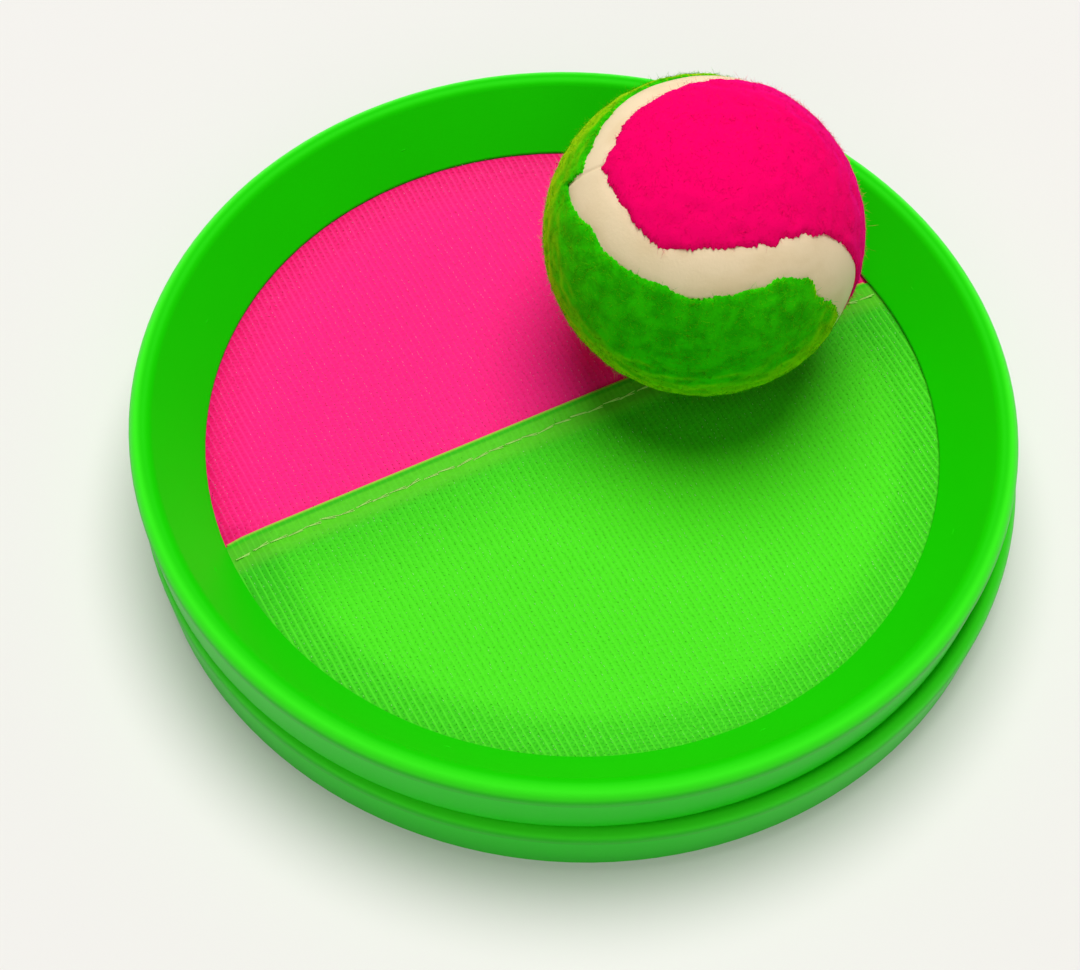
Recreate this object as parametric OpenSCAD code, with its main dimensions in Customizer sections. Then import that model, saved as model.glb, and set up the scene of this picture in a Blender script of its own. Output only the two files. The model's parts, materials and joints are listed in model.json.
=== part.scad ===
// Hook and loop catch set: two round paddles that stand rim on rim, with a felt ball on the upper one.
// Each paddle is a rim ring and a clamp ring that grip a round hook cloth and its half-moon hand pocket.
// X runs along the pocket's hem, Y points from the pocket to the bare half of the cloth, Z is up.

/* [Rim] */
// Outer diameter of a paddle, across its lip
rim_d = 190; // [184:1:200]
// Height of a paddle, from its foot to the top of its lip
rim_h = 15.8; // [15:0.1:17]
// Width of the rim, from its lip in to the opening
rim_w = 15.9; // [15.2:0.1:17]
// How far the foot is set in from the lip
foot_inset = 2; // [1.6:0.1:2.4]
// Radius of the rounded lip
lip_r = 3; // [2.7:0.1:3.3]
// Wall thickness of the rim moulding
rim_wall = 2; // [1.7:0.1:2.2]
// Height of the rim's inner edge above the foot
edge_h = 5; // [4.8:0.1:5.6]
// Radius of the rounded inner edge
nose_r = 0.7; // [0.6:0.05:0.75]
// Width of the land under the inner edge that presses on the cloth
land_w = 2.5; // [2:0.1:3]
// Rounding on the outer corner of the foot
foot_round = 0.5; // [0.3:0.1:0.7]
// Number of stiffening ribs in the rim's hollow
rib_count = 24; // [16:8:32]
// Thickness of a stiffening rib
rib_t = 1.2; // [1:0.1:1.5]
// Places of the moulding gate marks on the inner edge, in degrees from X
gate_angles = [20, 110.6, 202.8, 298.8]; // [0:0.1:360]
// Radius of a gate mark
gate_r = 1.5; // [1:0.1:2]

/* [Clamp ring] */
// Thickness of the clamp ring
clamp_t = 1.4; // [1.2:0.1:1.5]
// Number of staked posts that hold the clamp ring
post_count = 8; // [8:8:16]
// Diameter of a staked post
post_d = 4; // [3.4:0.1:4.4]
// Clearance round a post in its hole
post_gap = 0.1; // [0.05:0.05:0.2]
// Diameter of a post's staked head
head_d = 6.4; // [5.8:0.1:7]
// Thickness of a post's staked head
head_t = 0.6; // [0.4:0.1:0.6]
// Clearance between the clamp ring and the skirt round it
clamp_gap = 0.6; // [0.4:0.1:1]

/* [Cloth] */
// Thickness of one layer of cloth, pressed
cloth_t = 0.6; // [0.5:0.05:0.65]
// How far the cloth reaches past the land
cloth_margin = 1.9; // [1.6:0.1:2.4]
// Clearance between the cloth's edge and the posts
cloth_gap = 0.5; // [0.4:0.1:0.8]
// Distance of the pocket's folded edge from the centre
hem_y = 8.2; // [0:0.1:12]
// Width of the folded hem
hem_w = 7; // [6.6:0.1:10]
// Clearance between the hem's ends and the rim
hem_gap = 0.3; // [0.2:0.1:0.6]
// Distance of the stitches from the folded edge
stitch_inset = 4.8; // [4:0.1:5.4]
// Length of one stitch
stitch_l = 3; // [2:0.1:3.4]
// Distance from one stitch to the next
stitch_pitch = 4; // [3.6:0.1:5]
// Thickness of the sewing thread
thread_d = 0.6; // [0.4:0.1:0.8]

/* [Ball] */
// Diameter of the ball over its felt
ball_d = 68.5; // [62:0.5:70]
// Thickness of the felt
felt_t = 2.4; // [2:0.1:3]
// Thickness of the rubber shell under the felt
shell_t = 3.2; // [2.6:0.1:4]
// Width of the pale seam between the felt panels
seam_w = 9; // [6:0.1:9.4]
// How far the seam lies below the felt
seam_sink = 0.5; // [0.2:0.1:1]
// Place of the ball along the hem
ball_x = 37.4; // [-40:0.1:40]
// Distance of the ball's centre from the hem's folded edge
ball_past_hem = 6.2; // [6:0.1:20]
// Turn of the ball's seam about X, Y and Z
ball_turn = [84.8, 41.2, 74.9]; // [-180:0.1:180]
// How far the seam's wave swings to each side, as a share of the ball
seam_swing = 0.235; // [0.15:0.005:0.24]
// How high the seam's wave rises, as a share of the ball
seam_rise = 0.84; // [0.7:0.01:0.95]
// How square the turns of the seam's wave are
seam_corner = 0.024; // [0:0.002:0.026]
// How flat the tops of the seam's wave are
seam_flat = 0.022; // [0:0.002:0.03]

/* [Stack] */
// Clearance between the upper foot and the lower lip
stack_gap = 0.3; // [0.2:0.1:0.4]
// How far the lower paddle stands off the upper one's axis, along X and Y
stack_shift = [1.6, -0.4]; // [-2:0.1:2]
// Clearance between the ball and the cloth
ball_gap = 0.3; // [0.2:0.1:0.4]

/* [Hidden] */
$fn = 96;

RIM_GREEN = "#2bc41a";
CLOTH_PINK = "#ff2e7e";
CLOTH_GREEN = "#52e028";
THREAD_GREEN = "#a9ee8c";
FELT_PINK = "#ff0f6c";
FELT_GREEN = "#31b312";
SEAM_CREAM = "#ddd0b0";
RUBBER_DARK = "#5a5a56";

rim_r = rim_d / 2;
foot_r = rim_r - foot_inset;
face_r = rim_r - rim_w;
land_r = face_r + land_w;
land_z = edge_h - 2 * nose_r;
clamp_top = land_z - 2 * cloth_t;
clamp_bottom = clamp_top - clamp_t;
head_bottom = clamp_bottom - head_t;
cloth_r = land_r + cloth_margin;
post_r = cloth_r + cloth_gap + post_d / 2;
hem_top = land_z + cloth_t;
stack_pitch = rim_h + stack_gap;
below = 1;

// The rim's section is drawn round three circles, joined by lines that touch them
lip_c = [rim_r - lip_r, rim_h - lip_r];
nose_c = [face_r + nose_r, land_z + nose_r];
foot_c = [foot_r - foot_round, foot_round];
hollow_r = lip_r - rim_wall;

function heading(p, q) = atan2(q.y - p.y, q.x - p.x);
function lean(p, rp, q, rq) = asin((rq - rp) / norm(q - p));

slope_angle = heading(nose_c, lip_c) + lean(nose_c, nose_r, lip_c, lip_r);
slope_out = [-sin(slope_angle), cos(slope_angle)];
wall_angle = heading(foot_c, lip_c) - lean(foot_c, foot_round, lip_c, lip_r);
wall_out = [sin(wall_angle), -cos(wall_angle)];
slope_in = lip_c + hollow_r * slope_out;
wall_in = lip_c + hollow_r * wall_out;

function roof_z(r) = slope_in.y - (slope_in.x - r) * tan(slope_angle);
function skirt_r(z) = wall_in.x - (wall_in.y - z) / tan(wall_angle);

clamp_r = skirt_r(0) - clamp_gap;
rib_in_r = land_r + (post_r - land_r) / 3;
rib_bottom = land_z + cloth_t;
edge_stitch_r = (land_r + cloth_r) / 2;

ball_r = ball_d / 2;
felt_in_r = ball_r - felt_t;
felt_room = 0.5;
core_r = felt_in_r - felt_room;
seam_gap = 0.1;
seam_steps = 72;
panel_rings = 10;
ball_c = [ball_x, hem_y + ball_past_hem, stack_pitch + land_z + ball_gap + ball_r];

// Sections of the rim, as radius and height

module rim_outline() {
  polygon([
    [nose_c.x, land_z],
    [land_r, land_z],
    [land_r, 0],
    [foot_c.x, 0],
    foot_c + foot_round * wall_out,
    lip_c + lip_r * wall_out,
    lip_c + lip_r * slope_out,
    nose_c + nose_r * slope_out
  ]);
  translate(lip_c) circle(r = lip_r);
  translate(nose_c) circle(r = nose_r);
  translate(foot_c) circle(r = foot_round);
}

module rim_hollow() {
  polygon([
    [land_r, -below],
    [skirt_r(-below), -below],
    wall_in,
    slope_in,
    [land_r, roof_z(land_r)]
  ]);
  translate(lip_c) circle(r = hollow_r);
}

module rim_section() {
  difference() {
    rim_outline();
    rim_hollow();
  }
}

// Pieces of one paddle, drawn with the foot at height 0

module rim_ribs() {
  intersection() {
    rotate_extrude() rim_outline();
    for (i = [0 : rib_count - 1])
      rotate((i + 0.5) * 360 / rib_count)
        translate([rib_in_r, -rib_t / 2, rib_bottom])
          cube([rim_r - rib_in_r, rib_t, rim_h]);
  }
}

module posts() {
  for (i = [0 : post_count - 1])
    rotate(i * 360 / post_count) translate([post_r, 0, 0]) {
      translate([0, 0, head_bottom]) cylinder(d = post_d, h = roof_z(post_r) + rim_wall / 2 - head_bottom);
      translate([0, 0, head_bottom]) cylinder(d = head_d, h = head_t);
    }
}

module gate_marks() {
  for (a = gate_angles)
    rotate(a) translate([face_r - gate_r / 3, 0, land_z - below])
      cylinder(r = gate_r, h = edge_h);
}

module rim_ring() {
  color(RIM_GREEN) union() {
    difference() {
      rotate_extrude() rim_section();
      gate_marks();
    }
    rim_ribs();
    posts();
  }
}

module clamp_ring() {
  color(RIM_GREEN) difference() {
    rotate_extrude() translate([face_r + nose_r, clamp_bottom])
      square([clamp_r - face_r - nose_r, clamp_t]);
    for (i = [0 : post_count - 1])
      rotate(i * 360 / post_count) translate([post_r, 0, clamp_bottom - below])
        cylinder(d = post_d + 2 * post_gap, h = clamp_t + 2 * below);
  }
}

// The cloth lies in one plane: two pressed layers under the pocket, one deep pile on the bare half
module catch_disc() {
  color(CLOTH_PINK) union() {
    translate([0, 0, clamp_top]) cylinder(r = cloth_r, h = cloth_t);
    intersection() {
      translate([0, 0, clamp_top]) cylinder(r = cloth_r, h = 2 * cloth_t);
      translate([-rim_r, hem_y + seam_gap, clamp_top]) cube([rim_d, rim_r, 2 * cloth_t]);
    }
  }
}

module hem_section() {
  translate([hem_y - hem_w, land_z - cloth_t]) square([hem_w - cloth_t, 2 * cloth_t]);
  translate([hem_y - cloth_t, land_z]) circle(r = cloth_t);
}

module pocket_panel() {
  color(CLOTH_GREEN) union() {
    intersection() {
      translate([0, 0, land_z - cloth_t]) cylinder(r = cloth_r, h = cloth_t);
      translate([-rim_r, hem_y - cloth_t - rim_d, land_z - cloth_t]) cube([rim_d, rim_d, cloth_t]);
    }
    intersection() {
      translate([0, 0, clamp_top]) cylinder(r = face_r - hem_gap, h = rim_h);
      rotate([90, 0, 90]) linear_extrude(rim_d, center = true) hem_section();
    }
  }
}

// One stitch lies along X, flat side down
module stitch() {
  rotate([90, 0, 90]) linear_extrude(stitch_l, center = true) intersection() {
    circle(d = thread_d);
    translate([-thread_d, 0]) square(2 * thread_d);
  }
}

module hem_stitching() {
  half_row = sqrt(pow(face_r - hem_gap, 2) - pow(hem_y - stitch_inset, 2)) - stitch_l / 2 - thread_d;
  steps = floor(half_row / stitch_pitch);
  color(THREAD_GREEN)
    for (i = [-steps : steps])
      translate([i * stitch_pitch, hem_y - stitch_inset, hem_top]) stitch();
}

// The pocket's round edge is sewn to the disc, out of sight under the rim
module edge_stitching() {
  start = asin(hem_y / edge_stitch_r);
  arc = 180 + 2 * start;
  steps = floor(arc / 360 * 2 * PI * edge_stitch_r / (1.5 * stitch_pitch));
  color(THREAD_GREEN)
    for (i = [1 : steps - 1])
      rotate(180 - start + i * arc / steps) translate([edge_stitch_r, 0, land_z]) rotate(90) stitch();
}

// The ball's seam is one closed wave on a sphere, and each felt panel is the cap on one side of it

function unit(v) = v / norm(v);
function seam_point(t) = unit([
  cos(t) + seam_swing * cos(3 * t) + seam_corner * cos(7 * t),
  sin(t) - seam_swing * sin(3 * t) - seam_corner * sin(7 * t),
  seam_rise * sin(2 * t) - seam_flat * sin(6 * t)
]);
function across(t) = unit(cross(seam_point(t), seam_point(t + 1) - seam_point(t - 1)));
function beside(t, s) = unit(seam_point(t) + s / ball_r * across(t));
function toward(pole, edge, f) =
  let (turn = acos(pole * edge))
  pole * cos(f * turn) + unit(edge - pole * (pole * edge)) * sin(f * turn);

module felt_panel(side) {
  n = seam_steps;
  m = panel_rings;
  pole = [0, 0, side];
  skin = [
    for (k = [1 : m]) for (i = [0 : n - 1]) toward(pole, beside(i * 360 / n, side * seam_w / 2), k / m)
  ];
  points = concat([pole * ball_r], ball_r * skin, [pole * felt_in_r], felt_in_r * skin);
  low = 1 + n * m;
  outer_cap = [for (i = [0 : n - 1]) [0, 1 + (i + 1) % n, 1 + i]];
  outer_bands = [
    for (k = [0 : m - 2]) for (i = [0 : n - 1])
      let (a = 1 + k * n + i, b = 1 + k * n + (i + 1) % n)
      each [[a, b, b + n], [a, b + n, a + n]]
  ];
  rim_band = [
    for (i = [0 : n - 1])
      let (a = 1 + (m - 1) * n + i, b = 1 + (m - 1) * n + (i + 1) % n)
      each [[a, b, b + low], [a, b + low, a + low]]
  ];
  outer = concat(outer_cap, outer_bands);
  inner = [for (f = outer) [f[0] + low, f[2] + low, f[1] + low]];
  shell = concat(outer, inner, rim_band);
  polyhedron(points, side > 0 ? shell : [for (f = shell) [f[0], f[2], f[1]]]);
}

module seam_strip() {
  n = seam_steps;
  w = seam_w / 2 - seam_gap;
  top_r = ball_r - seam_sink;
  ring = [
    for (i = [0 : n - 1])
      let (t = i * 360 / n)
      each [beside(t, w) * top_r, beside(t, -w) * top_r, beside(t, -w) * felt_in_r, beside(t, w) * felt_in_r]
  ];
  faces = [
    for (i = [0 : n - 1]) for (k = [0 : 3])
      let (a = 4 * i + k, b = 4 * i + (k + 1) % 4, c = 4 * ((i + 1) % n) + (k + 1) % 4, d = 4 * ((i + 1) % n) + k)
      each [[a, b, c], [a, c, d]]
  ];
  polyhedron(ring, faces);
}

module shell_half(side) {
  difference() {
    intersection() {
      sphere(r = core_r);
      translate([-ball_r, -ball_r, side > 0 ? 0 : -ball_r]) cube([ball_d, ball_d, ball_r]);
    }
    sphere(r = core_r - shell_t);
  }
}

module place_ball() {
  translate(ball_c) rotate(ball_turn) children();
}

module set_down() {
  translate([stack_shift.x, stack_shift.y, 0]) children();
}

module raise() {
  translate([0, 0, stack_pitch]) children();
}

set_down() rim_ring();  // lower_rim_ring
set_down() clamp_ring();  // lower_clamp_ring
set_down() catch_disc();  // lower_catch_disc
set_down() pocket_panel();  // lower_pocket_panel
set_down() hem_stitching();  // lower_hem_stitching
set_down() edge_stitching();  // lower_edge_stitching
raise() rim_ring();  // upper_rim_ring
raise() clamp_ring();  // upper_clamp_ring
raise() catch_disc();  // upper_catch_disc
raise() pocket_panel();  // upper_pocket_panel
raise() hem_stitching();  // upper_hem_stitching
raise() edge_stitching();  // upper_edge_stitching
color(RUBBER_DARK) place_ball() shell_half(1);  // ball_shell_half_a
color(RUBBER_DARK) place_ball() shell_half(-1);  // ball_shell_half_b
color(FELT_PINK) place_ball() felt_panel(1);  // ball_felt_pink
color(FELT_GREEN) place_ball() felt_panel(-1);  // ball_felt_green
color(SEAM_CREAM) place_ball() seam_strip();  // ball_seam
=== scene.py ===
import json
import math

import bpy
import numpy as np
from mathutils import Euler, Matrix, Vector
from mathutils.kdtree import KDTree

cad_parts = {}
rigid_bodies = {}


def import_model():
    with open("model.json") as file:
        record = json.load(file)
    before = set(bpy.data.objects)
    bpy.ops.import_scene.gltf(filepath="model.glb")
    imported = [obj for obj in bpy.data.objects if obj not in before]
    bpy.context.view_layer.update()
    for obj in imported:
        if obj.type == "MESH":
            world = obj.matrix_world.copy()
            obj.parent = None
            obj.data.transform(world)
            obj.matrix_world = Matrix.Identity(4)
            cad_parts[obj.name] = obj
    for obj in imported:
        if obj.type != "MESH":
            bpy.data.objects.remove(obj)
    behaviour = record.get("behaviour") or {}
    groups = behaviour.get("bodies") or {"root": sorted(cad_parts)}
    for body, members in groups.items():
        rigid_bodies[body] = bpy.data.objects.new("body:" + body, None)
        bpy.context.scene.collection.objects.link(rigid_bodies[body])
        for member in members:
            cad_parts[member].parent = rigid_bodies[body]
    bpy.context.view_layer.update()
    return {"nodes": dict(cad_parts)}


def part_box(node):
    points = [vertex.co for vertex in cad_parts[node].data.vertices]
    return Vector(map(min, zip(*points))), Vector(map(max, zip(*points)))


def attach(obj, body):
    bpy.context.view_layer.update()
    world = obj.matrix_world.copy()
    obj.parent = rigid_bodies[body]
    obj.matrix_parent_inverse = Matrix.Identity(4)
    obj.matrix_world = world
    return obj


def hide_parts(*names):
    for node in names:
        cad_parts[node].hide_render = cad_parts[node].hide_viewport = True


for leftover in list(bpy.data.objects):
    bpy.data.objects.remove(leftover)
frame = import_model()
chance = np.random.default_rng(7)


def turned_about_z(angles):
    """A turning matrix about Z for each angle."""
    c, s, o = np.cos(angles), np.sin(angles), np.zeros_like(angles)
    return np.stack([np.stack([c, -s, o], 1), np.stack([s, c, o], 1), np.stack([o, o, o + 1], 1)], 1)


# Sizes in metres, as in the solids. The hem's place and the cloth's turn follow the photo.

MM = 0.001
PADDLES = ("lower", "upper")
FACE_R = 79.1 * MM  # the face that shows inside the rim
CLOTH_R = 83.5 * MM  # the cloth, out to its clamped edge
LAND_Z = 3.6 * MM  # the pocket's top where the rim presses it, above the paddle's foot
CLOTH_T = 0.6 * MM
HEM_Y = 9.0 * MM  # the pocket's folded edge
HEM_W = 7.0 * MM
HEM_X = 78.3 * MM  # where the fold ends, under the rim
STITCH_Y = HEM_Y - 4.2 * MM
STITCH_PITCH = 4.0 * MM
STITCH_HALF = 1.85 * MM
STITCHES = 39
RIB_PITCH = 1.4 * MM
ROW_PITCH = 0.95 * MM
RIBS_ASIDE = 57  # ribs to each side of the middle one
ROWS_ASIDE = 90
HOOK_H = 0.2 * MM
BALL_R = 34.25 * MM
FELT_IN_R = 31.85 * MM
HAIRS = 14200  # loose hairs on each felt panel
BALL_C = np.array([37.4, 14.4, 54.25]) * MM
BALL_TURN = np.array(Euler([math.radians(a) for a in (84.8, 41.2, 74.9)], "XYZ").to_matrix())
CLOTH_TURN = turned_about_z(np.radians([0.65]))[0]
PRESSED = CLOTH_TURN.T @ BALL_C
LIP_R = 92.0 * MM  # the middle of the lip's circle, from the paddle's axis
LIP_Z = 12.8 * MM
RIM_BOX = {paddle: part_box(paddle + "_rim_ring") for paddle in PADDLES}
LIFT = {paddle: RIM_BOX[paddle][0].z for paddle in PADDLES}
AXIS = {paddle: (RIM_BOX[paddle][0] + RIM_BOX[paddle][1]) / 2 for paddle in PADDLES}

# Shapes that are repeated, in millimetres: steps along Y and Z, and half widths.
# A stitch's first numbers are shares of half its length.
HOOK_PATH = ((0.0, -0.1), (0.0, 0.07), (0.08, 0.12), (0.28, 0.12), (0.36, 0.03))
HOOK_WIDTHS = (0.08, 0.07, 0.07, 0.065, 0.05)
STITCH_PATH = ((-1, -0.35), (-0.92, -0.05), (-0.72, 0.12), (-0.35, 0.2), (0, 0.22),
               (0.35, 0.2), (0.72, 0.12), (0.92, -0.05), (1, -0.35))
STITCH_WIDTHS = (0.08, 0.09, 0.11, 0.12, 0.12, 0.12, 0.11, 0.09, 0.08)
HAIR_PATH = ((0.0, 0.0), (0.06, 0.5), (0.26, 1.0))
HAIR_WIDTHS = (0.03, 0.025, 0.006)


# Camera and light

WHITE, BLACK = (1.0, 1.0, 1.0, 1.0), (0.0, 0.0, 0.0, 1.0)
CAMERA_PLACE = Vector((-0.22987, -0.39658, 0.67906))
CAMERA_AIM = Vector((-0.010517, -0.005159, 0.0161))
CAMERA_ROLL = math.radians(2.769)
CAMERA_LENS = 123.964


def set_camera():
    ahead = (CAMERA_AIM - CAMERA_PLACE).normalized()
    right = ahead.cross(Vector((0, 0, 1))).normalized()
    up = right.cross(ahead)
    c, s = math.cos(CAMERA_ROLL), math.sin(CAMERA_ROLL)
    right, up = right * c + up * s, up * c - right * s
    lens = bpy.data.cameras.new("photo_camera")
    lens.lens, lens.sensor_width, lens.clip_start, lens.clip_end = CAMERA_LENS, 36.0, 0.01, 20.0
    camera = bpy.data.objects.new("photo_camera", lens)
    turn = Matrix((right, up, -ahead)).transposed().to_4x4()
    camera.matrix_world = Matrix.Translation(CAMERA_PLACE) @ turn
    bpy.context.scene.collection.objects.link(camera)
    bpy.context.scene.camera = camera


def add_lamp(name, place, width, watts):
    """A round white lamp that points at the origin."""
    lamp = bpy.data.lights.new(name, "AREA")
    lamp.shape, lamp.size, lamp.energy = "DISK", width, watts
    holder = bpy.data.objects.new(name, lamp)
    holder.location = place
    holder.rotation_euler = (-Vector(place)).to_track_quat("-Z", "Y").to_euler()
    bpy.context.scene.collection.objects.link(holder)


def light_studio():
    world = bpy.data.worlds.new("soft_room")
    world.use_nodes = True
    sky = world.node_tree.nodes["Background"]
    sky.inputs["Color"].default_value = WHITE
    sky.inputs["Strength"].default_value = 0.1
    bpy.context.scene.world = world
    bpy.context.scene.view_settings.view_transform = "Standard"
    add_lamp("high_softbox", place=(0.49, 0.87, 4.0), width=3.2, watts=181.0)
    add_lamp("front_fill", place=(-0.8, -1.6, 1.4), width=1.4, watts=6.0)


# Shader building blocks

def srgb(red, green, blue):
    """A colour as it looks on screen, from 0 to 255, as the shader's own numbers."""
    part = [c / 255 for c in (red, green, blue)]
    return tuple(c / 12.92 if c <= 0.04045 else ((c + 0.055) / 1.055) ** 2.4 for c in part) + (1.0,)


def node(tree, kind, inputs=None, **settings):
    made = tree.nodes.new("ShaderNode" + kind)
    for name, value in settings.items():
        setattr(made, name, value)
    for place, value in (inputs or {}).items():
        if isinstance(value, bpy.types.NodeSocket):
            tree.links.new(value, made.inputs[place])
        else:
            made.inputs[place].default_value = value
    return made


def sums(tree, operation, a, b=0.0, c=0.0):
    return node(tree, "Math", {0: a, 1: b, 2: c}, operation=operation).outputs[0]


def root_of_squares(tree, a, b):
    return sums(tree, "SQRT", sums(tree, "MULTIPLY_ADD", a, a, sums(tree, "MULTIPLY", b, b)))


def eased(tree, value, low, high):
    """0 at low, 1 at high, and smooth between."""
    inputs = {"Value": value, "From Min": low, "From Max": high}
    return node(tree, "MapRange", inputs, interpolation_type="SMOOTHSTEP").outputs["Result"]


def mixed(tree, share, a, b):
    return node(tree, "Mix", {0: share, 6: a, 7: b}, data_type="RGBA").outputs[2]


def noise(tree, place, scale, detail=2.0, **more):
    """An even cloud of values from 0 to 1."""
    inputs = {"Vector": place, "Scale": scale, "Detail": detail, **more}
    return node(tree, "TexNoise", inputs).outputs["Fac"]


def wave(tree, operation, turns):
    """A sine or cosine that runs from 0 to 1 and back once in each turn."""
    swing = sums(tree, operation, sums(tree, "MULTIPLY", turns, math.tau))
    return sums(tree, "MULTIPLY_ADD", swing, 0.5, 0.5)


def new_group(name, takes):
    """A group with the given inputs, which gives a colour, a roughness and a height."""
    tree = bpy.data.node_groups.new(name, "ShaderNodeTree")
    for label, value in takes.items():
        kind = "Color" if isinstance(value, tuple) else "Float"
        socket = tree.interface.new_socket(label, in_out="INPUT", socket_type="NodeSocket" + kind)
        socket.default_value = value
    for label, kind in (("Colour", "Color"), ("Roughness", "Float"), ("Height", "Float")):
        tree.interface.new_socket(label, in_out="OUTPUT", socket_type="NodeSocket" + kind)
    return tree, tree.nodes.new("NodeGroupInput").outputs, tree.nodes.new("NodeGroupOutput").inputs


def new_material(name, group, values, bump=0.3, depth=0.0003, painted_sheen=None, **shader):
    """A material whose group gives colour, roughness and height, and whose other values are plain.

    A text among the values names what the piece carries. A lighter colour given for the outline is mixed in
    where the surface is seen edge-on: a painted sheen for lit loose hair.
    """
    material = bpy.data.materials.new(name)
    material.use_nodes = True
    tree = material.node_tree
    surface = tree.nodes["Principled BSDF"]
    for place, value in shader.items():
        surface.inputs[place.replace("_", " ")].default_value = value
    finish = tree.nodes.new("ShaderNodeGroup")
    finish.node_tree = group
    for place, value in values.items():
        if isinstance(value, str):
            carried = node(tree, "Attribute", attribute_name=value)
            tree.links.new(carried.outputs["Fac"], finish.inputs[place])
        else:
            finish.inputs[place].default_value = value
    relief = node(tree, "Bump", {"Strength": bump, "Distance": depth, "Height": finish.outputs["Height"]})
    colour = finish.outputs["Colour"]
    # Painted sheen: seen edge-on, the colour goes towards a lighter one that stands in for lit loose hair.
    if painted_sheen:
        aslant = node(tree, "LayerWeight", {"Blend": 0.5}).outputs["Facing"]
        share = sums(tree, "MULTIPLY", eased(tree, aslant, 0.5, 1.0), 0.85)
        colour = mixed(tree, share, colour, painted_sheen)
    tree.links.new(colour, surface.inputs["Base Color"])
    tree.links.new(finish.outputs["Roughness"], surface.inputs["Roughness"])
    tree.links.new(relief.outputs["Normal"], surface.inputs["Normal"])
    return material


def moulded_skin():
    """Moulded plastic: faint flow clouds, a fine satin grain and light scuffs. The lip's outer curve is painted
    paler, a painted highlight for light coming through the thin plastic, and the outer wall a brighter green,
    painted light for what the floor throws up onto it.
    """
    tree, takes, gives = new_group("moulded_skin", {
        "Colour": WHITE, "Scuff": WHITE, "Clouding": 0.1, "Smooth": 0.3,
        "Lip highlight": WHITE, "Lip highlight share": 0.0, "Wall": WHITE, "Wall share": 0.0})
    place = node(tree, "TexCoord").outputs["Object"]
    cloud = noise(tree, place, 32.0, detail=3.0)
    grain = noise(tree, place, 2600.0)
    drawn = node(tree, "Mapping", {"Vector": place, "Scale": (1.0, 1.0, 9.0)}).outputs["Vector"]
    scrape = noise(tree, drawn, 140.0, detail=6.0, Roughness=0.7)
    patch = noise(tree, place, 24.0)
    worn = sums(tree, "MULTIPLY", eased(tree, scrape, 0.62, 0.74), eased(tree, patch, 0.5, 0.68))
    shade = sums(tree, "MULTIPLY_ADD", sums(tree, "SUBTRACT", cloud, 0.5), takes["Clouding"], 1.0)
    tinted = node(tree, "VectorMath", {0: takes["Colour"], "Scale": shade}, operation="SCALE").outputs[0]
    along = node(tree, "SeparateXYZ", {0: place}).outputs
    lower = sums(tree, "LESS_THAN", along["Z"], LIFT["upper"] - 0.1 * MM)
    aside = sums(tree, "SUBTRACT", along["X"], sums(tree, "MULTIPLY", lower, AXIS["lower"].x))
    ahead = sums(tree, "SUBTRACT", along["Y"], sums(tree, "MULTIPLY", lower, AXIS["lower"].y))
    spread = root_of_squares(tree, aside, ahead)
    reach = sums(tree, "SUBTRACT", spread, LIP_R)
    rise = sums(tree, "SUBTRACT", sums(tree, "MODULO", along["Z"], LIFT["upper"]), LIP_Z)
    off_lip = root_of_squares(tree, reach, rise)
    round_lip = sums(tree, "ARCTAN2", reach, rise)
    # Painted highlight: the lip's outer curve, close round its middle, is mixed towards a paler green that
    # stands in for light coming through the thin plastic.
    outer = sums(tree, "SUBTRACT", eased(tree, round_lip, 0.0, 0.6), eased(tree, round_lip, 1.1, 1.55))
    close = sums(tree, "SUBTRACT", 1.0, eased(tree, off_lip, 3.1 * MM, 3.4 * MM))
    lip = sums(tree, "MULTIPLY", outer, close)
    # Painted light: the outer wall below the lip is given a brighter green that stands in for the light the
    # floor throws up onto it.
    under = eased(tree, rise, -1.2 * MM, -1.7 * MM)
    below = sums(tree, "MULTIPLY", under, sums(tree, "GREATER_THAN", reach, 0.0))
    wall = sums(tree, "MULTIPLY", below, takes["Wall share"])
    sided = mixed(tree, wall, tinted, takes["Wall"])
    thin = mixed(tree, sums(tree, "MULTIPLY", lip, takes["Lip highlight share"]), sided, takes["Lip highlight"])
    coloured = mixed(tree, sums(tree, "MULTIPLY", worn, 0.16), thin, takes["Scuff"])
    tree.links.new(coloured, gives["Colour"])
    rough = sums(tree, "MULTIPLY_ADD", worn, 0.18, takes["Smooth"])
    tree.links.new(sums(tree, "MULTIPLY_ADD", grain, 0.06, rough), gives["Roughness"])
    tree.links.new(sums(tree, "MULTIPLY_ADD", worn, -0.3, grain), gives["Height"])
    return tree


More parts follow.
